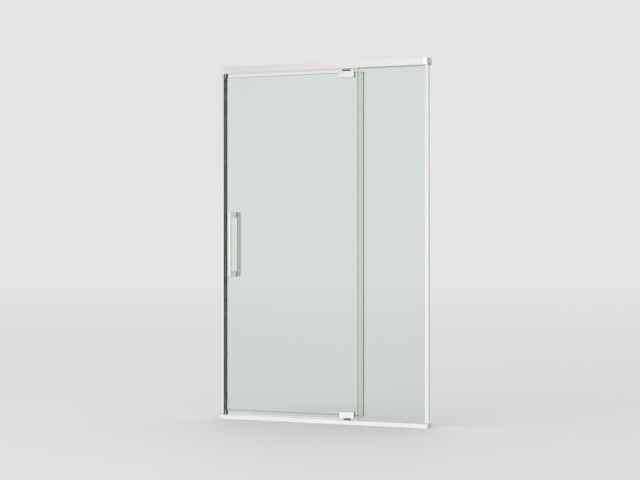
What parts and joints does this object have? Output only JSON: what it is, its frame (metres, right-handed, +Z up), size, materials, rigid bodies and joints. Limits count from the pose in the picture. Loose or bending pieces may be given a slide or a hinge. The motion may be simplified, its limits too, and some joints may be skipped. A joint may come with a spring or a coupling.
{
  "type": "pivot shower door",
  "caption": "Alcove shower door: a clear glass door on top and bottom pivots beside an inline fixed glass panel, between a header rail and a sill, with back-to-back pulls.",
  "frame": {"origin": "middle of the sill's underside: halfway between the walls, halfway front to back", "axes": "+X from the left (strike) wall to the right wall as seen from outside, +Y from outside into the shower, +Z up"},
  "size_m": [1.22, 0.144, 1.981],
  "materials": {
    "frame_metal": "bright nickel anodised, fine lengthways brushing",
    "hardware_metal": "bright nickel plated, satin",
    "fastener_steel": "stainless steel",
    "bush_bronze": "sintered bronze",
    "clear_glass": "clear tempered safety glass with ground edges",
    "bearing_plastic": "dark grey acetal",
    "dark_seal": "charcoal rubber",
    "grey_gasket": "milky light grey vinyl",
    "clear_seal": "clear extruded vinyl"
  },
  "bodies": {
    "frame": {"sill": "frame_metal", "sill_filler": "frame_metal", "sill_end_caps": "frame_metal", "header_rail": "frame_metal", "header_filler": "frame_metal", "header_bracket_left": "frame_metal", "header_bracket_right": "frame_metal", "strike_jamb": "frame_metal", "strike_wall_channel": "frame_metal", "panel_wall_channel": "frame_metal", "upper_pivot_plate": "hardware_metal", "header_bracket_screws": "fastener_steel", "strike_jamb_screws": "fastener_steel", "upper_pivot_screws": "fastener_steel", "lower_pivot_screws": "fastener_steel", "upper_backing_plate": "fastener_steel", "lower_backing_plate": "fastener_steel", "upper_pivot_bush": "bush_bronze", "lower_pivot_bush": "bush_bronze", "fixed_panel_glass": "clear_glass", "upper_pivot_block": "bearing_plastic", "lower_pivot_block": "bearing_plastic", "upper_thrust_washer": "bearing_plastic", "lower_thrust_washer": "bearing_plastic", "strike_seal_front": "dark_seal", "strike_seal_rear": "dark_seal", "panel_top_gasket": "grey_gasket", "panel_bottom_gasket": "grey_gasket", "panel_side_gasket": "grey_gasket", "panel_setting_blocks": "grey_gasket"},
    "door": {"door_glass": "clear_glass", "strike_edge_seal": "clear_seal", "tail_edge_seal": "clear_seal", "bottom_sweep": "clear_seal", "upper_clamp_outer": "hardware_metal", "upper_clamp_inner": "hardware_metal", "upper_clamp_gaskets": "dark_seal", "upper_clamp_screws": "fastener_steel", "upper_pivot_insert": "fastener_steel", "upper_pivot_pin": "fastener_steel", "lower_clamp_outer": "hardware_metal", "lower_clamp_inner": "hardware_metal", "lower_clamp_gaskets": "dark_seal", "lower_clamp_screws": "fastener_steel", "lower_pivot_insert": "fastener_steel", "lower_pivot_pin": "fastener_steel", "outer_pull": "hardware_metal", "inner_pull": "hardware_metal", "pull_studs": "fastener_steel", "pull_sleeves": "bearing_plastic", "pull_gaskets": "grey_gasket", "pull_grub_screws": "fastener_steel"}
  },
  "joints": [
    {"name": "door_pivot", "type": "hinge", "parent": "frame", "child": "door", "pos_m": [0.1375, 0.01, 0], "axis": [0, 0, 1], "range_deg": [0, 100]}
  ]
}
